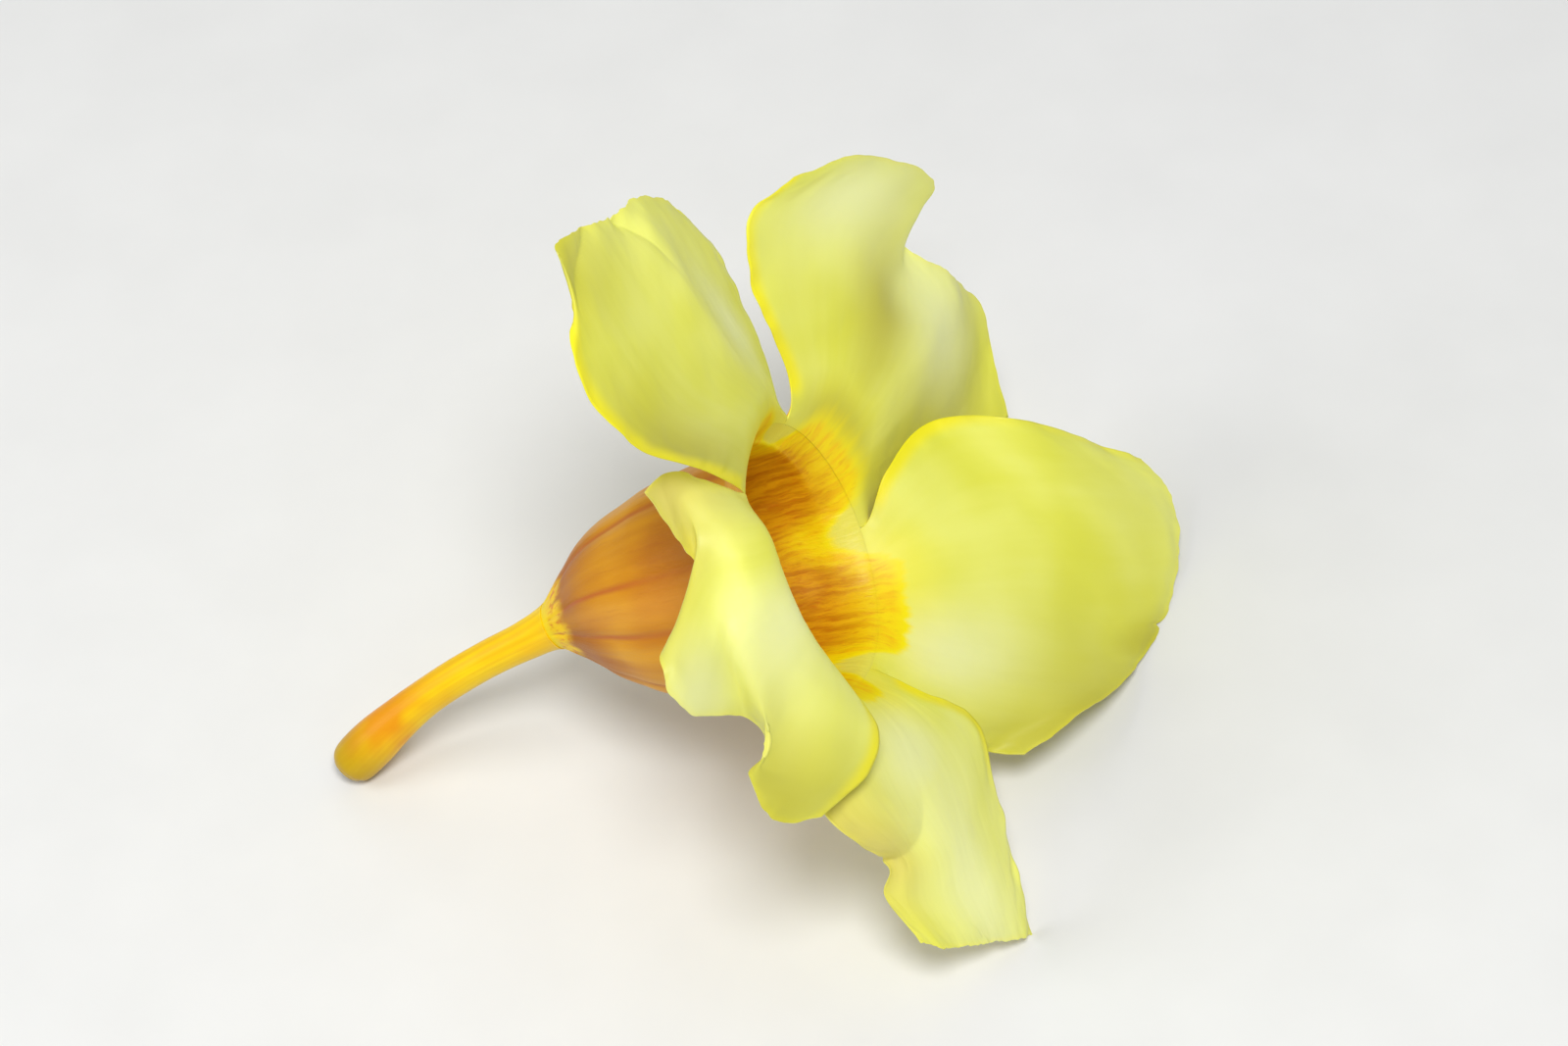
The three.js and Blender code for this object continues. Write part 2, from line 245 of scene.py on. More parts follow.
def sheet_mesh(name, middle, thickness, attributes, wraps=False):
    """A closed sheet round a middle surface (rows, columns, 3) in the flower's own frame.

    The thickness and the attributes are numbers or arrays that fit the grid. A sheet that
    wraps joins its last column to its first.
    """
    shape = rows, columns = middle.shape[:2]
    count = rows * columns
    shift = normals_of(middle, wraps) * (np.broadcast_to(thickness, shape) / 2)[..., None]
    points = np.concatenate([(middle + shift).reshape(-1, 3), (middle - shift).reshape(-1, 3)])
    index = np.arange(count).reshape(shape)
    right = np.roll(index, -1, 1) if wraps else index[:, 1:]
    left = index if wraps else index[:, :-1]
    quads = np.stack([left[:-1], left[1:], right[1:], right[:-1]], -1).reshape(-1, 4)
    borders = [(left[0], right[0], False), (left[-1], right[-1], True)]
    if not wraps:
        borders += [(index[:-1, 0], index[1:, 0], True), (index[:-1, -1], index[1:, -1], False)]
    faces = [quads, quads[:, ::-1] + count]
    for a, b, flip in borders:
        border = np.stack([a, b, b + count, a + count], -1)
        faces.append(border[:, ::-1] if flip else border)
    values = {"inner": np.repeat([1.0, 0.0], count)}
    for key, value in attributes.items():
        values[key] = np.tile(np.broadcast_to(value, shape).reshape(-1), 2)
    made = mesh_object(name, points, np.concatenate(faces).tolist(), values)
    ends = np.concatenate([index[0], index[-1]])
    keep_crisp(made.data, np.concatenate([ends, ends + count]))
    return made


def keep_crisp(mesh, corners):
    """The shading does not run round the ends of a sheet, where it meets the next piece."""
    on_end = np.zeros(len(mesh.vertices), bool)
    on_end[corners] = True
    pairs = np.zeros(len(mesh.edges) * 2, np.int32)
    mesh.edges.foreach_get("vertices", pairs)
    layer = mesh.attributes.new("sharp_edge", "BOOLEAN", "EDGE")
    layer.data.foreach_set("value", on_end[pairs].reshape(-1, 2).all(axis=1))


def mesh_object(name, points, faces, values):
    """A smooth mesh from points in the flower's own frame, in millimetres."""
    placed = (points @ REST.T + PLACE) * MM
    mesh = bpy.data.meshes.new(name)
    mesh.from_pydata(placed.tolist(), [], faces)
    mesh.polygons.foreach_set("use_smooth", [True] * len(mesh.polygons))
    for key, value in values.items():
        layer = mesh.attributes.new(key, "FLOAT", "POINT")
        layer.data.foreach_set("value", np.asarray(value, np.float32))
    mesh.update()
    made = bpy.data.objects.new(name, mesh)
    bpy.context.scene.collection.objects.link(made)
    return made


# ---------- round surfaces ----------
def round_points(line, rows, columns, ridge=0.0, after=None):
    """The middle surface round a line of [x, y, z, radius] rows.

    With it come the places of the grid's rows along the line (0 to 1), the angles of its
    columns, and the directions outwards.
    """
    line = np.asarray(line, float)
    s = np.linspace(0, 1, rows)
    along = through(line, s, after=after)
    centre, radius = along[:, :3], along[:, 3]
    ahead_of = np.gradient(centre, axis=0)
    if after is not None:
        ahead_of[-1] = np.asarray(after[:3]) - line[-2, :3]
    ahead_of /= np.linalg.norm(ahead_of, axis=1, keepdims=True)
    x = np.array([1.0, 0, 0]) - ahead_of[:, :1] * ahead_of
    x /= np.linalg.norm(x, axis=1, keepdims=True)
    y = np.cross(ahead_of, x)
    angle = np.arange(columns) / columns * 2 * math.pi
    wave = np.cos(PETAL_COUNT * (angle - math.radians(FIRST_PETAL_ANGLE)))
    swell = 1 + ridge * np.sin(math.pi * s)[:, None] * wave[None, :]
    r = (radius[:, None] * swell)[..., None]
    ring = np.cos(angle)[None, :, None] * x[:, None] + np.sin(angle)[None, :, None] * y[:, None]
    return centre[:, None] + r * ring, s, angle, ring


def place_from_cad():
    """Where the flower's own origin lies in the row frame, from the CAD throat's box."""
    middle = round_points(THROAT_LINE, *CAD_THROAT_GRID, RIDGE_HEIGHT)[0]
    shift = CAD_THROAT_WALL / 2 * normals_of(middle, True)
    skin = np.concatenate([middle + shift, middle - shift]).reshape(-1, 3) @ REST.T
    low, high = (np.array(corner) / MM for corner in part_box("throat"))
    return (low + high) / 2 - (skin.min(0) + skin.max(0)) / 2


PLACE = place_from_cad()


# ---------- materials ----------
class Graph:
    """Short ways to add shader nodes."""

    def __init__(self, name):
        self.material = bpy.data.materials.new(name)
        self.material.use_nodes = True
        self.tree = self.material.node_tree
        self.shader = self.tree.nodes["Principled BSDF"]

    def add(self, kind, **settings):
        node = self.tree.nodes.new(kind)
        for key, value in settings.items():
            setattr(node, key, value)
        return node

    def feed(self, socket, value):
        if isinstance(value, bpy.types.NodeSocket):
            self.tree.links.new(value, socket)
        else:
            socket.default_value = value

    def paint(self, colour):
        self.feed(self.shader.inputs["Base Color"], colour)

    def attributes(self, *names):
        """The values that a mesh carries under these names."""
        return [self.add("ShaderNodeAttribute", attribute_name=n).outputs["Fac"] for n in names]

    def math(self, operation, *values):
        node = self.add("ShaderNodeMath", operation=operation)
        for socket, value in zip(node.inputs, values):
            self.feed(socket, value)
        return node.outputs[0]

    def weighted(self, a, share_a, b, share_b):
        """Two values added, each times its share."""
        return self.math("ADD", self.math("MULTIPLY", a, share_a),
                         self.math("MULTIPLY", b, share_b))

    def ramp(self, value, low, high, start=0.0, end=1.0):
        node = self.add("ShaderNodeMapRange", interpolation_type="SMOOTHSTEP")
        for key, given in zip(("Value", "From Min", "From Max", "To Min", "To Max"),
                              (value, low, high, start, end)):
            self.feed(node.inputs[key], given)
        return node.outputs[0]

    def mix(self, factor, a, b):
        """From colour a to colour b; sockets 6, 7 and 2 are the node's colour ones."""
        node = self.add("ShaderNodeMix", data_type="RGBA")
        self.feed(node.inputs[0], factor)
        self.feed(node.inputs[6], a)
        self.feed(node.inputs[7], b)
        return node.outputs[2]

    def tint(self, colour, factor, strength, new):
        """The colour, turned to a new one by the factor times the strength."""
        return self.mix(self.math("MULTIPLY", factor, strength), colour, new)

    def vector(self, x, y, z=0.0):
        node = self.add("ShaderNodeCombineXYZ")
        for socket, value in zip(node.inputs, (x, y, z)):
            self.feed(socket, value)
        return node.outputs[0]

    def noise(self, vector, scale=1.0, detail=3.0, roughness=0.5):
        node = self.add("ShaderNodeTexNoise")
        self.feed(node.inputs["Vector"], vector)
        for key, value in (("Scale", scale), ("Detail", detail), ("Roughness", roughness)):
            node.inputs[key].default_value = value
        return node.outputs["Fac"]

    def streaky(self, around, out, around_rate, out_rate, layer, detail, roughness=0.5):
        """Noise with its own rates round the flower and out along it; layers differ."""
        where = self.vector(self.math("MULTIPLY", around, around_rate),
                            self.math("MULTIPLY", out, out_rate), layer)
        return self.noise(where, 1, detail, roughness)

    def bump(self, height, strength, distance):
        node = self.add("ShaderNodeBump")
        node.inputs["Strength"].default_value = strength
        node.inputs["Distance"].default_value = distance
        self.feed(node.inputs["Height"], height)
        self.tree.links.new(node.outputs[0], self.shader.inputs["Normal"])


def tone(red, green, blue):
    """A colour given as it shows on a screen, 0 to 255."""
    linear = [(c / 255 / 12.92) if c < 10 else ((c / 255 + 0.055) / 1.055) ** 2.4
              for c in (red, green, blue)]
    return (*linear, 1.0)


# A pair of colours is what a pattern runs between.
LEMON = tone(231, 232, 78), tone(245, 247, 126)
LEMON_WARM = tone(248, 242, 70)
# Painted highlight: a whitish lemon where the light catches a petal.
LEMON_HIGHLIGHT = tone(246, 250, 196)
# Painted shade: an olive where a petal turns away from the light.
OLIVE_SHADE = tone(194, 188, 58)
# Painted shade: a darker beige on facets that fold away from the light.
TAN_SHADE = tone(222, 206, 108)
CREAM = tone(238, 232, 92)
MARGIN_YELLOW = tone(254, 240, 8)
UNDERSIDE = tone(230, 226, 100), tone(236, 232, 114)
LINING_DEEP = tone(200, 128, 6), tone(230, 168, 12)
LINING_GOLD = tone(252, 204, 6), tone(255, 226, 6)
LINING_WRINKLE = tone(200, 108, 6)
LINING_EDGE = tone(255, 236, 0)
BELL_BANDS = tone(190, 116, 3), tone(226, 160, 12)
BELL_NARROW = tone(160, 84, 2)
BELL_LINE = tone(184, 84, 30)
# Painted highlight: a paler tone along the raised ridges of the bell.
BELL_RIDGE_HIGHLIGHT = tone(226, 166, 74)
BELL_STREAK = tone(170, 84, 16)
BELL_RIM = tone(228, 166, 30)
COLLAR = tone(250, 206, 10), tone(226, 138, 10)
COLLAR_EDGE = tone(252, 218, 18)
TUBE_GOLD = tone(242, 196, 5), tone(252, 212, 8)
TUBE_BLUSH = tone(230, 142, 6)
TUBE_END = tone(186, 150, 10)
SCALE_HAIR = tone(196, 120, 24), tone(236, 184, 70)
ANTHER = tone(226, 190, 60), tone(246, 226, 130)
PALE_FLOOR = tone(226, 226, 224), tone(234, 234, 232)
# Roughness, subsurface weight and subsurface radius, the same for the petals and the throat.
PETAL_SKIN = 0.42, 0.15, (1.0, 0.85, 0.2)


def tissue(graph, roughness, subsurface, radius):
    """Soft flower tissue, in which light scatters over about a millimetre."""
    shader = graph.shader
    shader.inputs["Roughness"].default_value = roughness
    shader.inputs["Subsurface Weight"].default_value = subsurface
    shader.inputs["Subsurface Radius"].default_value = radius
    shader.inputs["Subsurface Scale"].default_value = MM
    shader.inputs["Specular IOR Level"].default_value = 0.3


def streaks(g, around, out):
    """Streaks that run out of the throat: long soft ones, short wavy wrinkles, a fan of veins."""
    waver = g.streaky(around, out, 40, 0.3, 1.0, 2)
    turned = g.math("MULTIPLY_ADD", waver, 0.012, around)
    soft = g.streaky(turned, out, 120, 0.16, 0.0, 4)
    short = g.streaky(turned, out, 240, 0.5, 5.0, 3, 0.6)
    fan = g.streaky(around, out, 110, 0.045, 2.0, 4)
    return soft, short, fan


def lining_colour(g, patch, soft, short):
    """The orange of the throat's lining, golden towards the patch's edge."""
    deep = g.mix(g.ramp(soft, 0.36, 0.64), *LINING_DEEP)
    gold = g.mix(g.ramp(soft, 0.32, 0.6), *LINING_GOLD)
    lining = g.mix(g.ramp(patch, -9.5, -2.5), deep, gold)
    wrinkle = g.math("MULTIPLY", g.ramp(short, 0.52, 0.68), g.ramp(patch, -1.0, -8.0, 0.15, 0.45))
    lining = g.mix(wrinkle, lining, LINING_WRINKLE)
    return g.mix(g.ramp(patch, -2.2, -0.3), lining, LINING_EDGE)


def patch_cover(g, patch, fan, haze):
    """1 inside the throat's coloured patch; its edge is ragged, or hazy on some petals."""
    ragged = g.math("ADD", patch, g.math("MULTIPLY_ADD", fan, 2.6, -1.3))
    reach = g.math("MULTIPLY_ADD", haze, 2.2, 0.4)
    return g.ramp(g.math("DIVIDE", ragged, reach), 1.0, -1.0)


def petal_material():
    g = Graph("petal_tissue")
    out, rich, inner, around, patch = g.attributes("out", "rich", "inner", "around", "patch")
    haze, tan_shade, olive_shade, pale_highlight = g.attributes("haze", "tan_shade", "olive_shade", "pale_highlight")
    soft, short, fan = streaks(g, around, out)
    cloud = g.streaky(around, out, 10, 0.05, 4.0, 2)
    top = g.mix(g.ramp(g.weighted(cloud, 0.85, fan, 0.15), 0.32, 0.66), *LEMON)
    top = g.tint(top, g.ramp(patch, 8.0, 0.0), 0.6, LEMON_WARM)
    # Olive painted shade where the petal turns away from the light.
    top = g.tint(top, olive_shade, 0.9, OLIVE_SHADE)
    # Beige painted shade on facets that fold away from the light.
    top = g.tint(top, tan_shade, 0.85, TAN_SHADE)
    # Whitish painted highlights where the light catches the petal.
    top = g.tint(top, pale_highlight, 0.6, LEMON_HIGHLIGHT)
    top = g.tint(top, g.ramp(rich, 0.05, 0.95), 0.85, MARGIN_YELLOW)
    top = g.mix(patch_cover(g, patch, fan, haze), top, lining_colour(g, patch, soft, short))
    under = g.mix(g.ramp(fan, 0.35, 0.65), *UNDERSIDE)
    under = g.mix(g.ramp(out, 9.0, 0.0), under, BELL_RIM)
    g.paint(g.mix(g.ramp(inner, 0.4, 0.6), under, top))
    tissue(g, *PETAL_SKIN)
    g.bump(g.weighted(fan, 0.25, short, 0.2), 0.15, 0.0003)
    return g.material


def throat_material():
    g = Graph("throat_tissue")
    out, around, inner = g.attributes("out", "around", "inner")
    patch, ridge, haze = g.attributes("patch", "ridge", "haze")
    soft, short, fan = streaks(g, around, out)
    inside = g.mix(patch_cover(g, patch, fan, haze), CREAM, lining_colour(g, patch, soft, short))
    # Outside, broad bands run along the bell, with a reddish line on each side of every ridge.
    band = g.streaky(around, out, 18, 0.02, 6.0, 2)
    cloud = g.streaky(around, out, 6, 0.06, 8.0, 2)
    outside = g.mix(g.ramp(g.weighted(band, 0.5, cloud, 0.5), 0.38, 0.62), *BELL_BANDS)
    outside = g.mix(g.ramp(out, -22.0, -31.0, 0.0, 0.7), outside, BELL_NARROW)
    off_line = g.math("ABSOLUTE", g.math("SUBTRACT", ridge, 0.6))
    line = g.math("MULTIPLY", g.ramp(off_line, 0.1, 0.0), g.ramp(cloud, 0.35, 0.6, 0.15, 0.7))
    outside = g.mix(line, outside, BELL_LINE)
    # A painted highlight along the top of each ridge.
    outside = g.tint(outside, g.ramp(ridge, 0.66, 0.95), 0.3, BELL_RIDGE_HIGHLIGHT)
    outside = g.tint(outside, g.ramp(soft, 0.55, 0.72), 0.15, BELL_STREAK)
    outside = g.mix(g.ramp(out, -7.0, -0.3), outside, BELL_RIM)
    # A flecked collar with an uneven edge lies next to the tube.
    fleck = g.streaky(around, out, 50, 0.7, 9.0, 4)
    collar = g.mix(g.ramp(fleck, 0.48, 0.68), *COLLAR)
    collar_edge = g.math("ADD", out, g.math("MULTIPLY_ADD", band, 8.0, -4.0))
    outside = g.mix(g.ramp(collar_edge, -31.0, -33.5), outside, collar)
    outside = g.mix(g.ramp(out, -34.6, -35.6), outside, COLLAR_EDGE)
    g.paint(g.mix(g.ramp(inner, 0.4, 0.6), outside, inside))
    tissue(g, *PETAL_SKIN)
    g.bump(g.weighted(fan, 0.4, short, 0.6), 0.3, 0.0004)
    return g.material


def tube_material():
    g = Graph("tube_tissue")
    out, around = g.attributes("out", "around")
    streak = g.streaky(around, out, 30, 0.05, 0.0, 4)
    cloud = g.streaky(around, out, 2.5, 0.09, 2.0, 2)
    colour = g.mix(g.ramp(streak, 0.3, 0.7), *TUBE_GOLD)
    blush = g.math("MULTIPLY", g.ramp(cloud, 0.4, 0.62), g.ramp(out, -52.0, -62.0, 0.2, 0.85))
    colour = g.mix(blush, colour, TUBE_BLUSH)
    colour = g.mix(g.ramp(out, -63.0, -71.0, 0.0, 0.85), colour, TUBE_END)
    g.paint(colour)
    tissue(g, 0.38, 0.2, (1.0, 0.7, 0.1))
    g.bump(streak, 0.12, 0.0003)
    return g.material


def plain_tissue(name, low, high, scale):
    """Tissue with clouds of two colours, for the small parts inside the throat."""
    g = Graph(name)
    where = g.add("ShaderNodeTexCoord").outputs["Object"]
    cloud = g.noise(where, scale, 4)
    g.paint(g.mix(g.ramp(cloud, 0.35, 0.65), low, high))
    tissue(g, 0.6, 0.1, (1.0, 0.7, 0.2))
    g.bump(cloud, 0.4, 0.0002)
    return g.material


# ---------- petals ----------
ROW_CROWDING = 1.15  # above 1, the rows lie closer together near the rim
PARTING = 0.1  # degrees left free at each side of a petal's base
RIM_PULL = 12.0  # how firmly a petal holds the throat's direction where it leaves the rim
RELAX_PASSES = 30


def petal_grid(name):
    """The petal's middle surface. It leaves the rim in the direction that the throat ends in."""
    place, rows = PETALS[name]
    v = np.linspace(0, 1, PETAL_COLUMNS)
    u = np.linspace(0, 1, PETAL_ROWS) ** ROW_CROWDING
    angle = (2 * v - 1) * math.radians(SPACING / 2 - PARTING)
    level = np.zeros(PETAL_COLUMNS)
    rim = np.stack([RIM_RADIUS * np.sin(angle), RIM_RADIUS * np.cos(angle), level], -1)
    net = np.stack([rim, *(through(row, v) for row in rows)])
    flare = math.radians(RIM_FLARE)
    leaving = np.stack([math.sin(flare) * np.sin(angle), math.sin(flare) * np.cos(angle),
                        level + math.cos(flare)], -1)
    before = net[1] - RIM_PULL * leaving
    grid = relaxed(through(net, u, before=before), RELAX_PASSES)
    return grid @ petal_frame(place).T, u, v, place


# Creases of each petal: inner end and outer end as (u, v), height and width in millimetres, and
# how sharp (1) or rounded (2) the crease is. A negative height is a valley.
CREASES = {
    "petal_bottom": [
        ((0.34, 0.55), (0.6, 0.0), -1.5, 2.2, 1.4), ((0.3, 0.25), (0.5, 0.1), 0.9, 3.5, 2),
        ((0.55, 0.25), (1.0, 0.14), 0.8, 2.2, 1.5), ((0.3, 0.8), (0.95, 0.85), 0.5, 4, 2),
    ],
    "petal_right": [
        ((0.6, 0.45), (0.95, 0.4), -0.8, 7, 2), ((0.35, 0.7), (0.95, 0.72), 0.5, 6, 2),
        ((0.3, 0.3), (0.9, 0.2), 0.5, 5, 2),
    ],
    "petal_top": [
        ((0.42, 0.62), (1.0, 0.5), -0.8, 3.4, 1.8), ((0.4, 0.42), (0.93, 0.34), 0.9, 4, 2),
        ((0.35, 0.8), (0.9, 0.75), 0.7, 5, 2), ((0.5, 0.12), (0.9, 0.1), -0.8, 5, 2),
    ],
    "petal_left": [
        ((0.78, 0.42), (1.0, 0.5), -0.8, 1.1, 1.2), ((0.35, 0.3), (0.9, 0.42), 0.9, 3.0, 1.7),
        ((0.3, 0.62), (0.85, 0.68), -0.5, 6, 2), ((0.85, 0.95), (1.0, 0.66), -0.9, 1.6, 1.1),
    ],
    "petal_near": [
        ((0.4, 0.3), (1.0, 0.2), -0.5, 3.6, 1.8), ((0.25, 0.47), (0.95, 0.42), 0.9, 4, 2),
        ((0.35, 0.66), (1.0, 0.7), -1.1, 3.4, 1.8), ((0.4, 0.86), (0.95, 0.87), 0.7, 3.4, 2),
    ],
}


def crease(across, out, start, end, height, width, power):
    """A ridge or a valley along a line, fading towards its inner end."""
    rows, columns = out.shape
    ends = []
    for u, v in (start, end):
        i, j = round(u ** (1 / ROW_CROWDING) * (rows - 1)), round(v * (columns - 1))
        ends.append((across[i, j], out[i, j]))
    (ax, ay), (bx, by) = ends
    dx, dy = bx - ax, by - ay
    t = np.clip(((across - ax) * dx + (out - ay) * dy) / (dx * dx + dy * dy), 0, 1)
    distance = np.hypot(across - ax - t * dx, out - ay - t * dy)
    return height * ramp(t, 0, 0.6) * np.exp(-((distance / width) ** power))


# Spots of painted shade and painted highlight on the petals: centre (u, v) and reach (u, v).
# Beige painted shade, where a facet folds away from the light.
TAN_SHADE_SPOTS = {
    "petal_near": [(0.85, 0.0, 0.45, 0.24)],
    "petal_bottom": [(0.55, 0.0, 0.35, 0.3)],
}
# Olive painted shade, where the petal turns away from the light.
OLIVE_SHADE_SPOTS = {
    "petal_near": [(1.0, 0.85, 0.28, 0.22), (1.0, 0.3, 0.3, 0.12)],
    "petal_top": [(0.45, 0.0, 0.45, 0.34), (0.55, 0.6, 0.25, 0.12), (0.12, 0.6, 0.12, 0.4)],
    "petal_right": [(1.0, 0.15, 0.6, 0.36), (1.0, 0.45, 0.2, 0.1)],
    "petal_left": [(1.0, 0.95, 0.2, 0.3), (0.4, 0.95, 0.3, 0.2)],
}
# Whitish painted highlights, where the light catches the petal.
HIGHLIGHT_SPOTS = {
    "petal_left": [(0.6, 0.3, 0.22, 0.12)],
    "petal_near": [(0.4, 0.65, 0.45, 0.17), (0.95, 0.5, 0.12, 0.1)],
    "petal_bottom": [(0.75, 0.62, 0.45, 0.22), (0.3, 0.55, 0.15, 0.2)],
    "petal_top": [(0.8, 0.4, 0.25, 0.15), (0.85, 0.8, 0.2, 0.12)],
    "petal_right": [(0.3, 0.35, 0.25, 0.18)],
}
# How much of the saturated yellow along a petal's side at v = 1 is lost towards the tip.
MARGIN_FADE = {
    "petal_bottom": 0.85, "petal_right": 0.6, "petal_top": 0.3, "petal_left": 0.2,
    "petal_near": 0.6,
}
# How hazy the coloured patch's edge is: on two petals, on the other petals, in the throat.
HAZY_PATCH = {"petal_top": 1.0, "petal_left": 0.6}
PETAL_HAZE, THROAT_HAZE = 0.1, 0.15
# The patch's edge in the middle of a petal, out from the rim, and how far it draws back between
# the petals.
PATCH_REACH, PATCH_DRAWN_BACK = 3.9, 7.4
TORN_PETAL = "petal_right"
TEAR_SIDE, TEAR_DEPTH, TEAR_WIDTH = 0.5, 1.3, 0.009


def spots(places, u, v):
    """1 at the centre of each spot, fading out from it."""
    tint = np.zeros((len(u), len(v)))
    for at_u, at_v, reach_u, reach_v in places:
        spot = bell(u, at_u, reach_u)[:, None] * bell(v, at_v, reach_v)[None]
        tint = np.maximum(tint, spot)
    return tint


def petal_relief(name, across, out, side, edge, place):
    """Height above the smooth petal, in millimetres."""
    noise = Noise(RELIEF_SEED + place)
    veins = 0.05 * noise.layered(side * 16, out * 0.05) * ramp(out, 0, 6)
    dimples = 0.1 * noise.layered(across * 0.22 + out * 0.06, out * 0.16) * ramp(out, 1, 8)
    folds = 0.3 * noise.layered(side * 2.2 + 9, out * 0.06 + 3, 2) * ramp(out, 4, 14)
    ruffle = noise(side * 7 + 31, out * 0.2 + 7) + 0.5 * noise(side * 19 + 3, out * 0.45)
    ruffle = 0.4 * ruffle * bell(edge, 0, 2.6) * ramp(out, 6, 16)
    return sum((crease(across, out, *line) for line in CREASES[name]),
               veins + dimples + folds + ruffle)


def uneven_margin(name, grid, out, v, place):
    """The grid with its outer margin pushed in and out a little, and one small tear."""
    noise = Noise(MARGIN_SEED + place)
    push = 0.3 * noise.layered(v * 21, 0 * v) + 0.12 * noise(v * 60, 0 * v + 5)
    if name == TORN_PETAL:
        push = push - TEAR_DEPTH * np.exp(-(np.abs(v - TEAR_SIDE) / TEAR_WIDTH) ** 1.3)
    away = np.gradient(grid, axis=0)
    away /= np.linalg.norm(away, axis=2, keepdims=True)
    return grid + away * (push[None] * ramp(out[-1:] - out, 5, 0) * ramp(out, 6, 16))[..., None]


def patch_distance(out, offside):
    """How far a place is past the edge of the throat's coloured patch, in millimetres.

    It lies out from the rim, and offside is 0 in a petal's middle and -1 or 1 at its sides.
    """
    return out - (PATCH_REACH - PATCH_DRAWN_BACK * ramp(np.abs(offside), 0.42, 0.95))


def walked(grid, axis):
    """The way over a grid from its first row or column, in millimetres."""
    step = np.linalg.norm(np.diff(grid, axis=axis), axis=2)
    return np.insert(np.cumsum(step, axis), 0, 0, axis)


def build_petal(name, material):
    grid, u, v, place = petal_grid(name)
    out, reach = walked(grid, 0), walked(grid, 1)
    width = reach[:, -1:]
    side = np.broadcast_to(v, out.shape)
    edge = np.minimum(np.minimum(reach, width - reach), out[-1:] - out)
    fade = 1 - MARGIN_FADE[name] * ramp(out, 16, 30)
    rich = ramp(width - reach, 3.2, 0.0) * ramp(out, 2, 6) * fade
    rich = np.maximum(rich, 0.3 * ramp(edge, 1.6, 0.0))
    grid = uneven_margin(name, grid, out, v, place)
    relief = petal_relief(name, reach - width / 2, out, side, edge, place)
    middle = grid + normals_of(grid) * relief[..., None]
    thickness = PETAL_EDGE + PETAL_BODY * ramp(edge + 2.5 * ramp(out, 3, 0), 0, 2.5)
    around = (FIRST_PETAL_ANGLE / SPACING + place + side - 0.5) / PETAL_COUNT
    made = sheet_mesh(name, middle, thickness, {
        "out": out, "rich": rich, "around": around, "patch": patch_distance(out, 2 * side - 1),
        "haze": HAZY_PATCH.get(name, PETAL_HAZE), "tan_shade": spots(TAN_SHADE_SPOTS.get(name, []), u, v),
        "olive_shade": spots(OLIVE_SHADE_SPOTS.get(name, []), u, v), "pale_highlight": spots(HIGHLIGHT_SPOTS[name], u, v),
    })
    made.data.materials.append(material)
    return made


petal_tissue = petal_material()
for petal_name in PETALS:
    petal = build_petal(petal_name, petal_tissue)
    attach(petal, "root")
    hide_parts(petal_name)


# ---------- throat and tube ----------
def build_throat(material):
    middle, s, angle, ring = round_points(
        VISIBLE_THROAT_LINE, *THROAT_GRID, RIDGE_HEIGHT, after=BEYOND_RIM)
    out = through(VISIBLE_THROAT_LINE, s, after=BEYOND_RIM)[:, 2:3]
    around = angle / (2 * math.pi)
    turns = around * PETAL_COUNT - FIRST_PETAL_ANGLE / SPACING
    offside = 2 * (turns + 0.5 - np.floor(turns + 0.5)) - 1
    noise = Noise(THROAT_SEED)
    waver = 0.6 * noise(around * 16, out * 0.25)
    relief = 0.05 * noise.layered(around * 64 + waver, out * 0.12)
    relief += 0.05 * noise.layered(around * 128 + waver, out * 0.4, 2) * ramp(out, -14, -6)
    relief -= 0.3 * bell(np.abs(offside), 0.42, 0.12) * ramp(out, -4, -12)
    relief *= ramp(s, 0, 0.2)[:, None] * ramp(out, 0, -1.5)
    made = sheet_mesh("throat", middle + ring * relief[..., None], THROAT_THICKNESS, {
        "out": out, "around": around, "patch": patch_distance(out, offside),
        "ridge": 1 - np.abs(offside), "haze": THROAT_HAZE,
    }, wraps=True)
    made.data.materials.append(material)
    return made


def build_tube(material):
    middle, s, angle, ring = round_points(TUBE_LINE, *TUBE_GRID, after=BEYOND_TUBE)
    out = through(TUBE_LINE, s)[:, 2:3]
    around = angle / (2 * math.pi)
    relief = 0.05 * Noise(TUBE_SEED).layered(around * 16, out * 0.1) * ramp(s, 1, 0.9)[:, None]
    made = sheet_mesh("corolla_tube", middle + ring * relief[..., None], TUBE_THICKNESS,
                      {"out": out, "around": around}, wraps=True)
    made.data.materials.append(material)
    return made


throat = build_throat(throat_material())
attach(throat, "root")
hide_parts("throat")
tube = build_tube(tube_material())
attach(tube, "root")
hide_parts("corolla_tube")

# ---------- scales and stamens ----------
def ring_frame(k):
    """The turn and shift of the k-th scale or stamen about the throat's inner axis."""
    return turn_z(FIRST_PETAL_ANGLE + (k + 0.5) * SPACING), np.array([INNER_AXIS_X, 0, 0])


def build_scale(k, material):
    """A scale in front of a stamen, fringed at its free end."""
    turn, shift = ring_frame(k)
    u, v = (np.linspace(0, 1, count) for count in SCALE_GRID)
    line = through(SCALE_LINE, u)
    spread = np.radians(SCALE_SPREAD) * (2 * v - 1)[None] * (1 - 0.55 * u * u)[:, None]
    fringe = 0.5 * Noise(SCALE_SEED + k)(v * 14, v * 0)[None] * ramp(u, 0.5, 1)[:, None]
    radius = line[:, :1] - 0.3 * np.abs(fringe)
    z = line[:, 1:2] + fringe
    middle = np.stack([radius * np.cos(spread), radius * np.sin(spread), z], -1) @ turn.T + shift
    thickness = SCALE_EDGE + SCALE_BODY * ramp(1 - u, 0, 0.4)[:, None]
    made = sheet_mesh(f"throat_scale_{k + 1}", middle, thickness, {})
    made.data.materials.append(material)
    return made


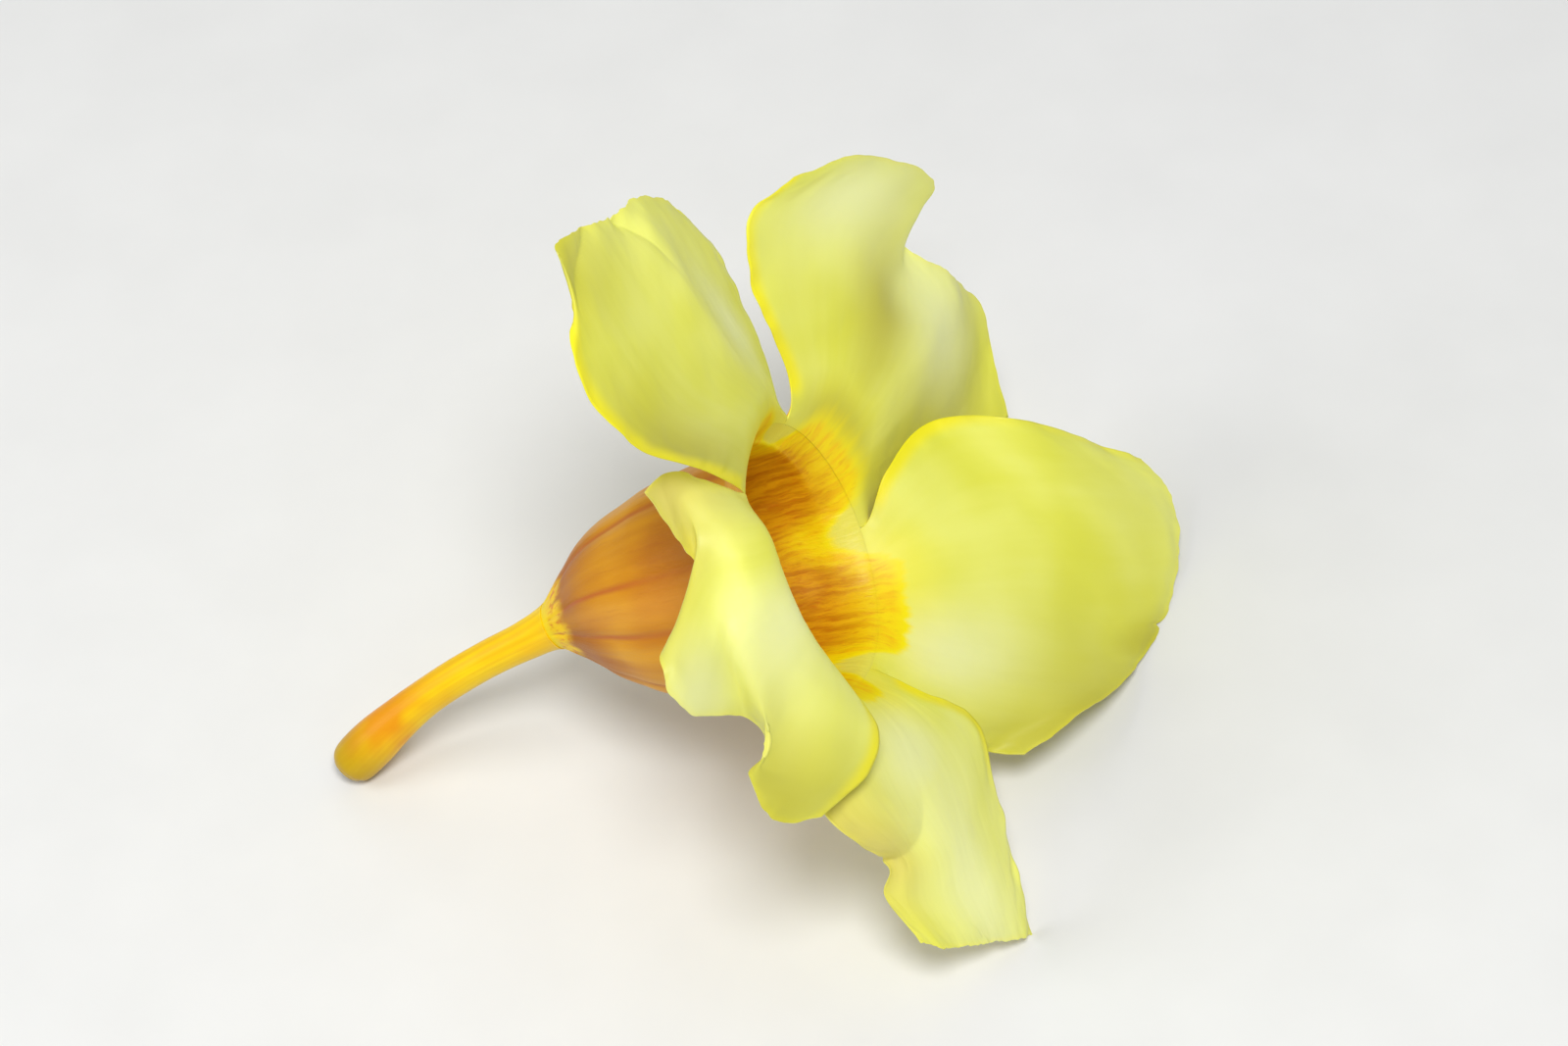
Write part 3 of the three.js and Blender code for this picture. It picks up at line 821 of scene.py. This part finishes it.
def build_stamen(k, material):
    """A short filament with a pointed anther, which has a cleft on its inner side."""
    turn, shift = ring_frame(k)
    s = np.linspace(0, 1, STAMEN_RINGS)
    line = through(STAMEN_LINE, s)
    angle = np.arange(STAMEN_SIDES) / STAMEN_SIDES * 2 * math.pi
    cleft = 1 - 0.22 * bell(np.cos(angle), -1, 0.35)[None] * ramp(s, 0.3, 0.5)[:, None]
    radius = line[:, 2:3] * cleft
    z = np.broadcast_to(line[:, 1:2], radius.shape)
    points = np.stack([line[:, :1] + radius * np.cos(angle), radius * np.sin(angle), z], -1)
    tips = np.array([[line[0, 0], 0, line[0, 1] - 0.1], [line[-1, 0], 0, line[-1, 1] + 0.15]])
    flat = np.concatenate([points.reshape(-1, 3), tips]) @ turn.T + shift
    count = STAMEN_RINGS * STAMEN_SIDES
    last = count - STAMEN_SIDES
    faces = []
    for j in range(STAMEN_SIDES):
        n = (j + 1) % STAMEN_SIDES
        faces += [(count, n, j), (count + 1, last + j, last + n)]
        faces += [(i + j, i + n, i + STAMEN_SIDES + n, i + STAMEN_SIDES + j)
                  for i in range(0, last, STAMEN_SIDES)]
    made = mesh_object(f"stamen_{k + 1}", flat, faces, {})
    made.data.materials.append(material)
    return made


scale_hair = plain_tissue("scale_hair", *SCALE_HAIR, 900)
anther = plain_tissue("anther", *ANTHER, 1400)
for k in range(PETAL_COUNT):
    scale = build_scale(k, scale_hair)
    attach(scale, "root")
    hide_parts(f"throat_scale_{k + 1}")
    stamen = build_stamen(k, anther)
    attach(stamen, "root")
    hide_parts(f"stamen_{k + 1}")

# ---------- floor, light, camera ----------
def floor_material():
    g = Graph("pale_floor")
    where = g.add("ShaderNodeTexCoord").outputs["Object"]
    grain = g.noise(where, 60, 4)
    g.paint(g.mix(grain, *PALE_FLOOR))
    g.shader.inputs["Roughness"].default_value = 0.75
    return g.material


HALF_FLOOR = 3.0  # metres
corners = [(x * HALF_FLOOR, y * HALF_FLOOR, 0) for x, y in ((-1, -1), (1, -1), (1, 1), (-1, 1))]
floor_mesh = bpy.data.meshes.new("floor")
floor_mesh.from_pydata(corners, [], [(0, 1, 2, 3)])
floor = bpy.data.objects.new("floor", floor_mesh)
floor.data.materials.append(floor_material())
bpy.context.scene.collection.objects.link(floor)

# The lights and the camera stand round the middle of the flower's mouth. Metres, degrees.
MOUTH = Vector((PLACE * MM).tolist())
VIEW_AZIMUTH, VIEW_ELEVATION, VIEW_ROLL = 5.69, 50.1, -7.4
VIEW_DISTANCE = 0.55
SHIFT_RIGHT, SHIFT_UP = -0.00336, 0.0039
FOCAL_LENGTH, SENSOR_WIDTH = 103.1, 36  # millimetres
SKY, SKY_STRENGTH = (0.95, 0.97, 1, 1), 0.3


def area_light(name, place, size, power):
    """A round lamp at a place counted from the mouth, turned towards it. Metres, watts."""
    lamp = bpy.data.lights.new(name, "AREA")
    lamp.shape = "DISK"
    lamp.size = size
    lamp.energy = power
    made = bpy.data.objects.new(name, lamp)
    made.location = MOUTH + Vector(place)
    made.rotation_euler = (-Vector(place)).to_track_quat("-Z", "Y").to_euler()
    bpy.context.scene.collection.objects.link(made)


area_light("key", (0.08, -0.36, 0.78), 0.3, 5.3)
area_light("fill", (-0.6, -0.1, 0.6), 0.5, 2.2)
area_light("back", (-0.2, 0.8, 0.6), 0.6, 0.7)
world = bpy.data.worlds.new("studio")
world.use_nodes = True
sky = world.node_tree.nodes["Background"].inputs
sky["Color"].default_value = SKY
sky["Strength"].default_value = SKY_STRENGTH
bpy.context.scene.world = world
bpy.context.scene.view_settings.view_transform = "Standard"

azimuth, elevation, roll = (math.radians(x) for x in (VIEW_AZIMUTH, VIEW_ELEVATION, VIEW_ROLL))
back = Vector((math.cos(elevation) * math.sin(azimuth),
               -math.cos(elevation) * math.cos(azimuth), math.sin(elevation)))
level_right = Vector((math.cos(azimuth), math.sin(azimuth), 0))
right = level_right * math.cos(roll) + back.cross(level_right) * math.sin(roll)
up = back.cross(right)
lens = bpy.data.cameras.new("camera")
lens.lens = FOCAL_LENGTH
lens.sensor_width = SENSOR_WIDTH
camera = bpy.data.objects.new("camera", lens)
turn = Matrix((right, up, back)).transposed().to_4x4()
eye = MOUTH + back * VIEW_DISTANCE + right * SHIFT_RIGHT + up * SHIFT_UP
camera.matrix_world = Matrix.Translation(eye) @ turn
bpy.context.scene.collection.objects.link(camera)
bpy.context.scene.camera = camera
